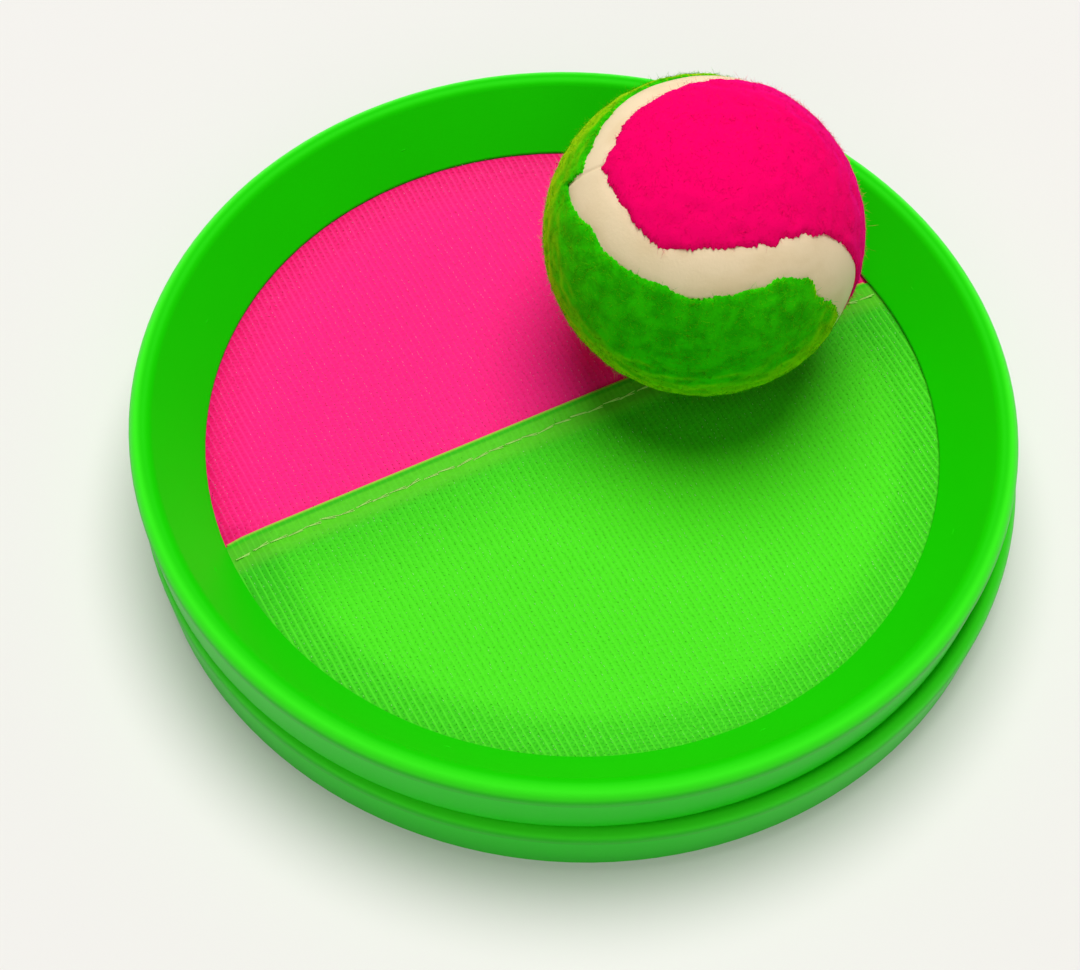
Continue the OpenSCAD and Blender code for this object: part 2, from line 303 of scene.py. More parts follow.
def hook_weave():
    """Hook cloth: ribs along Y with their crests painted paler (painted highlight), rows of pits between them
    painted darker (painted shade), a darkening that the piece carries (painted shade next to the rim, darker
    towards the hem, random on the hooks), and a pale colour that it marks: a painted highlight on the fold's
    edge and a few hooks, with a faint tint over the hem.
    """
    tree, takes, gives = new_group("hook_weave", {
        "Colour": WHITE, "Deep": BLACK, "Light": WHITE, "Tone and shade": 1.0, "Pile": 1.0, "Pit shade": 0.7,
        "Painted highlight": WHITE, "Painted highlight share": 0.0})
    place = node(tree, "TexCoord").outputs["Object"]
    wobble = node(tree, "TexNoise", {"Vector": place, "Scale": 60.0, "Detail": 2.0}).outputs["Color"]
    drift = {0: wobble, 1: (0.8 * MM, 0.8 * MM, 0.0), 2: place}
    shifted = node(tree, "VectorMath", drift, operation="MULTIPLY_ADD")
    along = node(tree, "SeparateXYZ", {0: shifted.outputs[0]}).outputs
    across = sums(tree, "DIVIDE", along["X"], RIB_PITCH)
    odd = sums(tree, "MODULO", sums(tree, "FLOOR", across), 2.0)
    down = sums(tree, "ADD", sums(tree, "DIVIDE", along["Y"], ROW_PITCH), sums(tree, "MULTIPLY", odd, 0.5))
    rib, row = wave(tree, "COSINE", across), wave(tree, "COSINE", down)
    low = sums(tree, "MULTIPLY", sums(tree, "SUBTRACT", 1.0, rib), sums(tree, "SUBTRACT", 1.0, row))
    # Painted shade: the pits between ribs and rows, low in the height, are painted darker.
    pit = eased(tree, low, 0.35, 0.9)
    # Painted highlight: the rib crests are painted paler.
    line = eased(tree, rib, 0.72, 0.98)
    yarn = noise(tree, place, 900.0)
    deep = sums(tree, "MULTIPLY", sums(tree, "MULTIPLY", pit, takes["Pit shade"]), takes["Pile"])
    # Painted shade that the piece carries: darker next to the rim and towards the pocket's hem, and random
    # darkening on the hooks.
    deep = sums(tree, "ADD", deep, sums(tree, "SUBTRACT", 1.0, takes["Tone and shade"]))
    deep = sums(tree, "ADD", deep, sums(tree, "MULTIPLY", sums(tree, "SUBTRACT", yarn, 0.5), 0.5))
    deep = sums(tree, "MINIMUM", sums(tree, "MAXIMUM", deep, 0.0), 1.0)
    ground = mixed(tree, deep, takes["Colour"], takes["Deep"])
    bright = sums(tree, "MULTIPLY", line, sums(tree, "MULTIPLY", takes["Pile"], 0.32))
    with_crest_highlight = mixed(tree, bright, ground, takes["Light"])
    # Painted highlight: the fold's edge and a few hooks are mixed towards a pale colour, which also gives the
    # hem a faint tint.
    tree.links.new(mixed(tree, takes["Painted highlight share"], with_crest_highlight, takes["Painted highlight"]), gives["Colour"])
    tree.links.new(sums(tree, "MULTIPLY_ADD", yarn, 0.3, 0.4), gives["Roughness"])
    height = sums(tree, "MULTIPLY_ADD", rib, 0.6, sums(tree, "MULTIPLY", row, 0.35))
    tree.links.new(sums(tree, "MULTIPLY_ADD", yarn, 0.35, height), gives["Height"])
    return tree


def felt_nap():
    """Brushed felt: matted tufts; the pits between them are painted darker, partly colour variation and partly
    painted shade; loose hair is paler, partly pale fibres and partly a painted highlight for lit hair.
    """
    tree, takes, gives = new_group("felt_nap", {
        "Colour": WHITE, "Deep": BLACK, "Pale hair and highlight": WHITE, "Matting": 0.5, "Tone and shade": 0.5})
    place = node(tree, "TexCoord").outputs["Object"]
    tuft = noise(tree, place, 620.0, detail=4.0, Roughness=0.65)
    mat = noise(tree, place, 230.0, detail=3.0)
    hair = noise(tree, place, 2400.0, Distortion=1.5)
    # Painted shade and colour variation: the pits, low in the height, are painted darker, and the broad mat
    # clouds vary the colour.
    pit = sums(tree, "SUBTRACT", 1.0, eased(tree, sums(tree, "MULTIPLY_ADD", tuft, 0.5, mat), 0.55, 0.95))
    dark = mixed(tree, sums(tree, "MULTIPLY", pit, takes["Matting"]), takes["Colour"], takes["Deep"])
    # Paler loose hair: fine specks on the panel, and on the loose hairs a painted highlight for lit hair.
    loose = sums(tree, "MULTIPLY", eased(tree, hair, 0.58, 0.72), takes["Matting"])
    hair_highlight_share = sums(tree, "MULTIPLY", sums(tree, "ADD", loose, takes["Tone and shade"]), 0.4)
    tree.links.new(mixed(tree, hair_highlight_share, dark, takes["Pale hair and highlight"]), gives["Colour"])
    tree.links.new(sums(tree, "MULTIPLY_ADD", hair, 0.1, 0.85), gives["Roughness"])
    tree.links.new(sums(tree, "MULTIPLY_ADD", hair, 0.4, tuft), gives["Height"])
    return tree


def dry_strip():
    """The ball's pale seam: a dry matt strip with a fine tooth, faint stains and small pores."""
    tree, takes, gives = new_group("dry_strip", {"Colour": WHITE, "Stain": WHITE, "Pore": BLACK})
    place = node(tree, "TexCoord").outputs["Object"]
    stain = noise(tree, place, 110.0, detail=4.0)
    tooth = noise(tree, place, 1500.0, detail=3.0)
    cells = node(tree, "TexVoronoi", {"Vector": place, "Scale": 210.0}).outputs["Distance"]
    spread = noise(tree, place, 75.0)
    dot = sums(tree, "SUBTRACT", 1.0, eased(tree, cells, 0.03, 0.1))
    pore = sums(tree, "MULTIPLY", dot, eased(tree, spread, 0.55, 0.7))
    base = mixed(tree, eased(tree, stain, 0.4, 0.75), takes["Colour"], takes["Stain"])
    tree.links.new(mixed(tree, sums(tree, "MULTIPLY", pore, 0.6), base, takes["Pore"]), gives["Colour"])
    tree.links.new(sums(tree, "MULTIPLY_ADD", tooth, 0.2, 0.65), gives["Roughness"])
    tree.links.new(sums(tree, "MULTIPLY_ADD", pore, -0.8, tooth), gives["Height"])
    return tree


def twisted_thread():
    """Sewing thread: two plies that show as slanting bands along X; the grooves between them are painted
    darker, a painted shade.
    """
    tree, takes, gives = new_group("twisted_thread", {"Colour": WHITE, "Deep": BLACK})
    place = node(tree, "TexCoord").outputs["Object"]
    along = node(tree, "SeparateXYZ", {0: place}).outputs
    slant = sums(tree, "MULTIPLY_ADD", sums(tree, "ADD", along["Y"], along["Z"]), 0.8, along["X"])
    ply = wave(tree, "SINE", sums(tree, "DIVIDE", slant, 0.55 * MM))
    fluff = noise(tree, place, 1800.0)
    # Painted shade: the grooves between the plies are darker.
    shade = sums(tree, "MULTIPLY", sums(tree, "SUBTRACT", 1.0, ply), 0.6)
    tree.links.new(mixed(tree, shade, takes["Colour"], takes["Deep"]), gives["Colour"])
    tree.links.new(sums(tree, "MULTIPLY_ADD", fluff, 0.2, 0.45), gives["Roughness"])
    tree.links.new(sums(tree, "MULTIPLY_ADD", fluff, 0.3, ply), gives["Height"])
    return tree


def make_finishes():
    skin, weave, nap, strip = moulded_skin(), hook_weave(), felt_nap(), dry_strip()
    thread = twisted_thread()
    return {
        # The rim's lip and wall colours are painted light: a highlight on the lip, and extra light on the outer
        # wall.
        "rim": new_material(
            "green_rim_plastic", skin,
            {"Colour": srgb(22, 206, 0), "Scuff": srgb(44, 216, 20), "Clouding": 0.1, "Smooth": 0.4,
             "Lip highlight": srgb(64, 255, 36), "Lip highlight share": 0.9, "Wall": srgb(14, 220, 2), "Wall share": 1.0},
            Specular_IOR_Level=0.4, Specular_Tint=srgb(90, 255, 50), bump=0.05, depth=0.0001),
        "clamp": new_material(
            "green_clamp_plastic", skin,
            {"Colour": srgb(24, 192, 4), "Scuff": srgb(84, 214, 60), "Clouding": 0.22, "Smooth": 0.36},
            Specular_IOR_Level=0.25, bump=0.08, depth=0.0001),
        # The cloths' pits are painted shade and their paler rib crests a painted highlight.
        "pink_cloth": new_material(
            "pink_hook_cloth", weave,
            {"Colour": srgb(255, 30, 128), "Deep": srgb(226, 10, 92), "Light": srgb(255, 62, 148),
             "Tone and shade": "tone_and_shade", "Pile": "pile", "Pit shade": 0.4},
            Specular_IOR_Level=0.08, bump=0.2),
        # The green cloth's pale yellow is a painted highlight on the fold's edge and a faint tint over the hem.
        "green_cloth": new_material(
            "green_hook_cloth", weave,
            {"Colour": srgb(74, 225, 20), "Deep": srgb(46, 184, 10), "Light": srgb(102, 247, 48),
             "Tone and shade": "tone_and_shade", "Pile": "pile", "Pit shade": 0.4, "Painted highlight": srgb(206, 206, 90), "Painted highlight share": "fold"},
            Specular_IOR_Level=0.08, bump=0.2),
        # The hooks' pale colours are a painted highlight, a glint on a few of them.
        "pink_hooks": new_material(
            "pink_hook_filament", weave,
            {"Colour": srgb(255, 80, 154), "Deep": srgb(236, 14, 100), "Tone and shade": "tone_and_shade", "Pile": 0.0,
             "Pit shade": 0.0, "Painted highlight": srgb(255, 160, 200), "Painted highlight share": "glint"},
            Specular_IOR_Level=0.1, bump=0.1),
        "green_hooks": new_material(
            "green_hook_filament", weave,
            {"Colour": srgb(124, 246, 70), "Deep": srgb(60, 200, 16), "Tone and shade": "tone_and_shade", "Pile": 0.0,
             "Pit shade": 0.0, "Painted highlight": srgb(206, 255, 180), "Painted highlight share": "glint"},
            Specular_IOR_Level=0.1, bump=0.1),
        # The felts' paler colour marks loose hair and a painted highlight on lit hairs; the colour seen edge-on
        # is a painted sheen.
        "pink_felt": new_material(
            "pink_felt", nap,
            {"Colour": srgb(255, 2, 104), "Deep": srgb(244, 0, 88), "Pale hair and highlight": srgb(255, 60, 142),
             "Matting": 0.1, "Tone and shade": "tone_and_shade"},
            Specular_IOR_Level=0.02, Sheen_Weight=0.15, Sheen_Roughness=0.5, Sheen_Tint=srgb(255, 10, 140),
            painted_sheen=srgb(255, 0, 140), bump=0.15, depth=0.0003),
        "green_felt": new_material(
            "green_felt", nap,
            {"Colour": srgb(46, 208, 4), "Deep": srgb(20, 160, 0), "Pale hair and highlight": srgb(120, 224, 14),
             "Matting": 0.7, "Tone and shade": "tone_and_shade"},
            Specular_IOR_Level=0.02, Sheen_Weight=0.3, Sheen_Roughness=0.4, Sheen_Tint=srgb(226, 255, 0),
            painted_sheen=srgb(186, 234, 8), bump=0.35, depth=0.0004),
        "seam": new_material(
            "cream_seam_strip", strip,
            {"Colour": srgb(252, 228, 188), "Stain": srgb(242, 216, 172), "Pore": srgb(96, 84, 66)},
            Specular_IOR_Level=0.15, bump=0.25, depth=0.0002),
        # The thread's darker colour is painted shade in the grooves between its plies.
        "thread": new_material(
            "pale_green_thread", thread, {"Colour": srgb(196, 255, 128), "Deep": srgb(178, 255, 104)},
            Specular_IOR_Level=0.3, bump=0.1, depth=0.0001),
        "rubber": new_material(
            "ball_core_rubber", skin,
            {"Colour": srgb(90, 90, 86), "Scuff": srgb(128, 128, 122), "Clouding": 0.3, "Smooth": 0.6},
            Specular_IOR_Level=0.3, bump=0.2, depth=0.0002),
    }


def give_finish(piece, material):
    piece.data.materials.clear()
    piece.data.materials.append(material)


# Modelling helpers

def start_clear():
    if bpy.context.object and bpy.context.object.mode != "OBJECT":
        bpy.ops.object.mode_set(mode="OBJECT")
    bpy.ops.object.select_all(action="DESELECT")


def pick(piece):
    start_clear()
    bpy.context.view_layer.objects.active = piece
    piece.select_set(True)


def points_of(piece):
    flat = np.empty(len(piece.data.vertices) * 3)
    piece.data.vertices.foreach_get("co", flat)
    return flat.reshape(-1, 3)


def move_points(piece, points):
    piece.data.vertices.foreach_set("co", points.ravel())
    piece.data.update()


def carry(piece, name, values):
    """Writes a value from 0 to 1 at each point, for the material to read."""
    attribute = piece.data.attributes.new(name, "FLOAT", "POINT")
    attribute.data.foreach_set("value", np.asarray(values, np.float32))


def smooth_all(piece):
    piece.data.polygons.foreach_set("use_smooth", [True] * len(piece.data.polygons))
    piece.data.update()


def piece_from(name, points, faces):
    mesh = bpy.data.meshes.new(name)
    mesh.from_pydata(points.tolist(), [], faces)
    piece = bpy.data.objects.new(name, mesh)
    bpy.context.scene.collection.objects.link(piece)
    smooth_all(piece)
    return piece


def apply_modifier(piece, kind, **settings):
    pick(piece)
    modifier = piece.modifiers.new(kind.lower(), kind)
    for name, value in settings.items():
        setattr(modifier, name, value)
    bpy.ops.object.modifier_apply(modifier=modifier.name)


def face_outwards(piece):
    pick(piece)
    bpy.ops.object.mode_set(mode="EDIT")
    bpy.ops.mesh.select_all(action="SELECT")
    bpy.ops.mesh.normals_make_consistent(inside=False)
    bpy.ops.object.mode_set(mode="OBJECT")


def choose(piece, faces):
    """Selects the faces that are marked true, and goes into edit mode."""
    pick(piece)
    bpy.ops.object.mode_set(mode="EDIT")
    bpy.ops.mesh.select_mode(type="FACE")
    bpy.ops.mesh.select_all(action="DESELECT")
    bpy.ops.object.mode_set(mode="OBJECT")
    piece.data.polygons.foreach_set("select", np.asarray(faces, bool))
    bpy.ops.object.mode_set(mode="EDIT")


def corners_of(piece):
    """The numbers of the points at the corners of each face."""
    return [tuple(face.vertices) for face in piece.data.polygons]


def unit(rows):
    return rows / np.linalg.norm(rows, axis=-1, keepdims=True)


def eased_share(value, low, high):
    """0 below low, 1 above high, and smooth between."""
    share = np.clip((value - low) / (high - low), 0.0, 1.0)
    return share * share * (3 - 2 * share)


def drawn_out(name, sides, path, widths):
    """A ring extruded step by step along a path in the YZ plane, closed at both ends. Sizes in millimetres."""
    path = [(y * MM, z * MM) for y, z in path]
    widths = [width * MM for width in widths]
    start_clear()
    bpy.ops.mesh.primitive_circle_add(
        vertices=sides, radius=widths[0], fill_type="NGON", location=(0, 0, 0))
    piece = bpy.context.object
    piece.name = name
    bpy.ops.object.mode_set(mode="EDIT")
    bpy.ops.mesh.select_all(action="SELECT")
    for before, after in zip(path, path[1:]):
        step = (0.0, after[0] - before[0], after[1] - before[1])
        bpy.ops.mesh.extrude_region_move(TRANSFORM_OT_translate={"value": step})
    bpy.ops.object.mode_set(mode="OBJECT")
    points = points_of(piece)
    ring = points[:sides] / widths[0]
    for i, (y, z) in enumerate(path):
        back, on = path[max(i - 1, 0)], path[min(i + 1, len(path) - 1)]
        ahead = math.atan2(on[1] - back[1], on[0] - back[0])
        points[i * sides:(i + 1) * sides] = np.stack([
            ring[:, 0] * widths[i],
            y - ring[:, 1] * widths[i] * math.sin(ahead),
            z + ring[:, 1] * widths[i] * math.cos(ahead)], axis=1)
    move_points(piece, points)
    face_outwards(piece)
    return piece


def copied(name, pattern, spots, frames, sizes, tones):
    """One piece made of many copies of a modelled shape, each turned, sized and placed on its own."""
    shape = points_of(pattern)
    faces = corners_of(pattern)
    points = np.einsum("nij,nkj->nki", frames, shape[None] * sizes[:, None, :]) + spots[:, None, :]
    count = len(shape)
    every = [tuple(corner + i * count for corner in face) for i in range(len(spots)) for face in faces]
    piece = piece_from(name, points.reshape(-1, 3), every)
    carry(piece, "tone_and_shade", np.repeat(tones, count))
    bpy.data.objects.remove(pattern)
    return piece


# Cloth of one paddle

def inside_rim(x, y):
    """How far a place on the face lies inside the rim's inner edge."""
    return FACE_R - np.hypot(x, y)


def off_ball(x, y):
    """How far a place on the face lies from the spot that the ball presses."""
    return np.hypot(x - PRESSED[0], y - PRESSED[1])


def cut_rows(rows):
    """Cuts the cloth in edit mode along lines of the same Y."""
    for y in rows:
        bpy.ops.mesh.select_all(action="SELECT")
        bpy.ops.mesh.bisect(plane_co=(0, y, 0), plane_no=(0, 1, 0), threshold=1e-7)


def crown(x, y, paddle):
    """How far the stretched cloth swells above the clamp's plane, less where the ball presses it."""
    swell = 0.35 * MM * eased_share(inside_rim(x, y), 0.0, 12 * MM)
    if paddle == "upper":
        swell = swell * (1 - np.exp(-(off_ball(x, y) / (20 * MM)) ** 2))
    return swell


def disc_top(x, y, paddle):
    """Height of the bare cloth: its pile puffs up next to the rim, just before the clamp presses it flat."""
    bare = eased_share(y, HEM_Y - 1 * MM, HEM_Y + 4 * MM)
    inside = inside_rim(x, y)
    puff = 1.2 * MM * eased_share(inside, -0.9 * MM, 0.8 * MM)
    puff = puff * (1 - eased_share(inside, 1.5 * MM, 9 * MM))
    return LAND_Z - CLOTH_T + bare * (0.45 * MM + crown(x, y, paddle) + puff)


def pocket_top(x, y, paddle):
    """Height of the pocket: the hem is doubled, the seam draws it in and the ball presses it."""
    inside = eased_share(inside_rim(x, y), 0.4 * MM, 4.5 * MM)
    hem = eased_share(y, HEM_Y - HEM_W - 2.2 * MM, HEM_Y - HEM_W + 1.2 * MM) * inside
    seam = np.exp(-((y - STITCH_Y) / (0.9 * MM)) ** 2) * inside
    top = LAND_Z + hem * CLOTH_T - seam * 0.18 * MM + crown(x, y, paddle)
    if paddle == "upper":
        top = top - 0.25 * MM * np.exp(-(off_ball(x, y) / (8 * MM)) ** 2)
    return top


def rim_shade_bands(x, y):
    """Two bands along the rim where shade is painted, each 1 on its outer side: where the cloth runs down, and
    its edge.
    """
    inside = inside_rim(x, y)
    return 1 - eased_share(inside, 6.5 * MM, 12.5 * MM), 1 - eased_share(inside, 0.0, 5 * MM)


def bare_painted_shade(x, y):
    """Painted shade on the bare cloth: darker where it runs down to the clamp, and again next to the rim."""
    slope, edge = rim_shade_bands(x, y)
    return 1 - 0.25 * slope - 0.5 * edge


def pocket_shade_and_hem_darkening(x, y):
    """How bright the pocket is: painted shade where it runs down to the clamp and next to the rim, and darker
    towards the hem.
    """
    slope, edge = rim_shade_bands(x, y)
    hem = eased_share(y - HEM_Y, -30 * MM, -2 * MM)
    return np.clip(1 - 0.5 * slope - 0.15 * edge - 0.6 * hem, 0, 1)


def doubled(y):
    """1 on the hem, where the pocket's cloth is doubled."""
    return eased_share(y, HEM_Y - HEM_W - 2 * MM, HEM_Y - HEM_W + 1 * MM)


def pit_and_crest_contrast(x, y):
    """How strongly the pits are painted darker and the rib crests paler: half as much in the middle as next to
    the rim.
    """
    return 0.5 + 0.5 * eased_share(np.hypot(x, y), FACE_R - 16 * MM, FACE_R - 3 * MM)


def round_cloth(name):
    """A flat disc of small faces, smaller still next to the rim, left in edit mode."""
    start_clear()
    bpy.ops.mesh.primitive_circle_add(
        vertices=64, radius=CLOTH_R, fill_type="TRIFAN", location=(0, 0, 0))
    cloth = bpy.context.object
    cloth.name = name
    bpy.ops.object.mode_set(mode="EDIT")
    bpy.ops.mesh.select_all(action="SELECT")
    bpy.ops.mesh.subdivide(number_cuts=15)
    bpy.ops.object.mode_set(mode="OBJECT")
    reach = np.hypot(*points_of(cloth)[:, :2].T)
    choose(cloth, [min(reach[v] for v in face) > FACE_R - 7 * MM for face in corners_of(cloth)])
    bpy.ops.mesh.subdivide(number_cuts=2)
    return cloth


def catch_cloth(paddle):
    cloth = round_cloth(paddle + "_catch_cloth")
    cut_rows((HEM_Y - 1 * MM, HEM_Y, HEM_Y + 2 * MM, HEM_Y + 4 * MM))
    bpy.ops.object.mode_set(mode="OBJECT")
    points = points_of(cloth)
    points[:, 2] = LIFT[paddle] + disc_top(points[:, 0], points[:, 1], paddle)
    move_points(cloth, points)
    apply_modifier(cloth, "SOLIDIFY", thickness=CLOTH_T, offset=-1.0)
    x, y = points_of(cloth).T[:2]
    # Painted shade next to the rim, for the material to read.
    carry(cloth, "tone_and_shade", bare_painted_shade(x, y))
    carry(cloth, "pile", pit_and_crest_contrast(x, y))
    smooth_all(cloth)
    return cloth


def pocket_cloth(paddle):
    """A half-moon of cloth with its straight edge folded under, as one sheet."""
    cloth = round_cloth(paddle + "_pocket_cloth")
    cut_rows(HEM_Y - np.append(np.arange(15, 2, -1.0), (1.7, 1.4, 1.1, 0.85)) * MM)
    fold_y = HEM_Y - CLOTH_T
    bpy.ops.mesh.select_all(action="SELECT")
    bpy.ops.mesh.bisect(plane_co=(0, fold_y, 0), plane_no=(0, 1, 0), clear_outer=True, threshold=1e-7)
    bpy.ops.object.mode_set(mode="OBJECT")
    points = points_of(cloth)
    x, y = points[:, 0], points[:, 1]
    points[:, 2] = LIFT[paddle] + pocket_top(x, y, paddle) - CLOTH_T / 2
    move_points(cloth, points)
    on_fold = (abs(y - fold_y) < 1e-6) & (abs(x) < HEM_X)
    for edge in cloth.data.edges:
        edge.select = all(on_fold[v] for v in edge.vertices)
    for vertex in cloth.data.vertices:
        vertex.select = False
    for face in cloth.data.polygons:
        face.select = False
    bpy.ops.object.mode_set(mode="EDIT")
    bpy.ops.mesh.select_mode(type="EDGE")
    roll = CLOTH_T / 2
    steps = [(roll * 1.9 * math.sin(a), roll * math.cos(a)) for a in np.radians(np.arange(0, 181, 22.5))]
    steps += [(-s * MM, -roll) for s in (1.5, 3.5, 5.5, 6.4)]
    for before, after in zip(steps, steps[1:]):
        bpy.ops.mesh.extrude_region_move(
            TRANSFORM_OT_translate={"value": (0.0, after[0] - before[0], after[1] - before[1])})
    bpy.ops.object.mode_set(mode="OBJECT")
    apply_modifier(cloth, "SOLIDIFY", thickness=CLOTH_T * 0.9, offset=0.0)
    x, y = points_of(cloth).T[:2]
    hem = doubled(y)
    # Painted shade: a dark line just behind the fold's edge.
    crease_shade = np.exp(-((y - HEM_Y + 1.0 * MM) / (0.4 * MM)) ** 2)
    # Painted highlight: the fold's edge is painted pale; the hem under it gets a faint tint of the same colour.
    fold_edge_highlight = eased_share(y, HEM_Y - 0.5 * MM, HEM_Y - 0.15 * MM)
    carry(cloth, "tone_and_shade", pocket_shade_and_hem_darkening(x, y) - 0.8 * crease_shade)
    carry(cloth, "pile", pit_and_crest_contrast(x, y) * (1 - 0.55 * hem))
    carry(cloth, "fold", 0.08 * hem * (1 - crease_shade) + 0.5 * fold_edge_highlight)
    smooth_all(cloth)
    return cloth


def hook_spots(low, high):
    """Places for the hooks, in ribs along Y, each rib half a row off its neighbours."""
    x, y = np.meshgrid(
        np.arange(-RIBS_ASIDE, RIBS_ASIDE + 1), np.arange(-ROWS_ASIDE, ROWS_ASIDE + 1))
    spots = np.stack([x * RIB_PITCH, (y + 0.5 * (x % 2)) * ROW_PITCH], axis=-1).reshape(-1, 2)
    spots += chance.normal(0, 0.09 * MM, spots.shape)
    x, y = spots.T
    return spots[(inside_rim(x, y) > 0.5 * MM) & (y > low) & (y < high)]


def hook_pile(name, paddle, top, tone_and_shade, low, high):
    """Hooks on one cloth. They are pressed down under the ball and left out on the hem."""
    hook = drawn_out("hook", 3, HOOK_PATH, HOOK_WIDTHS)
    x, y = hook_spots(low, high).T
    height = chance.normal(1.0, 0.1, len(x))
    height -= doubled(y) * (y < HEM_Y)
    base = top(x, y, paddle)
    if paddle == "upper":
        away = np.minimum(off_ball(x, y), BALL_R)
        under = BALL_C[2] - LIFT[paddle] - np.sqrt((BALL_R + 0.25 * MM) ** 2 - away ** 2)
        height = np.minimum(height, (under - 0.05 * MM - base) / HOOK_H)
    stands = (height > 0.2) & (abs(y - STITCH_Y) > 0.75 * MM)
    height, base, x, y = height[stands], base[stands], x[stands], y[stands]
    count = len(x)
    turns = np.where(chance.random(count) < 0.5, 0.0, math.pi) + chance.normal(0, 0.35, count)
    # The hooks take the cloth's painted shade next to the rim, with random darkening on top.
    tones = 0.6 * tone_and_shade(x, y) + 0.4 * chance.random(count) ** 2
    places = np.stack([x, y, base + LIFT[paddle]], axis=1)
    sizes = np.stack([np.ones(count), chance.normal(1.0, 0.1, count), height], axis=1)
    pile = copied(name, hook, places, turned_about_z(turns), sizes, tones)
    # Painted highlight: a few hooks get a pale glint.
    carry(pile, "glint", np.repeat(0.9 * chance.random(count) ** 5, len(pile.data.vertices) // count))
    return pile


def hem_stitches(paddle):
    """A row of stitches, each of two loose plies that lie a little apart."""
    path = [(share * STITCH_HALF / MM, height) for share, height in STITCH_PATH]
    ply = drawn_out("ply", 8, path, STITCH_WIDTHS)
    count = 2 * STITCHES
    middles = (np.arange(STITCHES) - STITCHES // 2) * STITCH_PITCH
    apart = np.tile((-0.08, 0.08), STITCHES) * MM
    crossing = np.tile((-0.06, 0.06), STITCHES)
    x = np.repeat(middles, 2) + chance.normal(0, 0.15 * MM, count)
    y = STITCH_Y + apart + np.repeat(chance.normal(0, 0.14 * MM, STITCHES), 2)
    places = np.stack([x, y, LIFT[paddle] + pocket_top(x, y, paddle) + 0.09 * MM], axis=1)
    turns = -math.pi / 2 + np.repeat(chance.normal(0, 0.1, STITCHES), 2) + crossing
    turns += chance.normal(0, 0.05, count)
    sizes = np.stack([
        np.full(count, 1.1), chance.normal(1.0, 0.06, count), chance.normal(0.24, 0.024, count)], axis=1)
    return copied(paddle + "_hem_stitches", ply, places, turned_about_z(turns), sizes, np.ones(count))


def dress_paddle(paddle, finish):
    body = paddle + "_paddle"
    nodes = frame["nodes"]
    give_finish(nodes[paddle + "_rim_ring"], finish["rim"])
    give_finish(nodes[paddle + "_clamp_ring"], finish["clamp"])
    give_finish(nodes[paddle + "_edge_stitching"], finish["thread"])
    disc, pocket = catch_cloth(paddle), pocket_cloth(paddle)
    bare_hooks = hook_pile(
        paddle + "_catch_hooks", paddle, disc_top, bare_painted_shade, HEM_Y + 1.0 * MM, CLOTH_R)
    pocket_hooks = hook_pile(
        paddle + "_pocket_hooks", paddle, pocket_top, pocket_shade_and_hem_darkening, -CLOTH_R, HEM_Y - 1.0 * MM)
    stitches = hem_stitches(paddle)
    to_axis = np.array([AXIS[paddle].x, AXIS[paddle].y, 0.0])
    for piece, material, slot in (
            (disc, "pink_cloth", "pink_hook_cloth"), (bare_hooks, "pink_hooks", "pink_hook_cloth"),
            (pocket, "green_cloth", "green_hook_cloth"), (pocket_hooks, "green_hooks", "green_hook_cloth"),
            (stitches, "thread", "sewing_thread")):
        move_points(piece, points_of(piece) @ CLOTH_TURN.T + to_axis)
        give_finish(piece, finish[material])
        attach(piece, body)
    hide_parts(paddle + "_catch_disc")
    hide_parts(paddle + "_pocket_panel")
    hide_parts(paddle + "_hem_stitching")


# Ball

def seam_at(t):
    """Points of the seam's middle on a unit ball."""
    return unit(np.stack([
        np.cos(t) + 0.235 * np.cos(3 * t) + 0.024 * np.cos(7 * t),
        np.sin(t) - 0.235 * np.sin(3 * t) - 0.024 * np.sin(7 * t),
        0.84 * np.sin(2 * t) - 0.022 * np.sin(6 * t)], axis=-1))


def seam_line(count):
    """Evenly spaced points round the seam on a unit ball, the direction across it, and its length."""
    fine = np.linspace(0, math.tau, 20001)
    line = seam_at(fine)
    run = np.concatenate([[0], np.cumsum(np.linalg.norm(np.diff(line, axis=0), axis=1))])
    t = np.interp(np.linspace(0, run[-1], count, endpoint=False), run, fine)
    middle = seam_at(t)
    across = unit(np.cross(middle, seam_at(t + 0.01) - seam_at(t - 0.01)))
    return middle, across, run[-1] * BALL_R


def ragged(count, length, waves):
    """An uneven closed line, as a sum of waves: shortest, longest and usual height of each kind."""
    steps = np.arange(count) / count
    line = np.zeros(count)
    for shortest, longest, height in waves:
        orders = np.arange(math.ceil(length / longest), math.floor(length / shortest) + 1)
        swings = np.cos(math.tau * np.outer(steps, orders) + chance.uniform(0, math.tau, len(orders)))
        line += height * math.sqrt(2 / len(orders)) * swings.sum(axis=1)
    return line


def on_ball(points):
    return points @ BALL_TURN.T + BALL_C


SEAM_STEPS = 960
SEAM_MIDDLE, SEAM_ACROSS, SEAM_LENGTH = seam_line(SEAM_STEPS)
SEAM_TREE = KDTree(SEAM_STEPS)
for step, point in enumerate(SEAM_MIDDLE):
    SEAM_TREE.insert(point, step)
SEAM_TREE.balance()
TORN = ((4 * MM, 14 * MM, 0.2 * MM), (0.9 * MM, 2.4 * MM, 0.16 * MM))

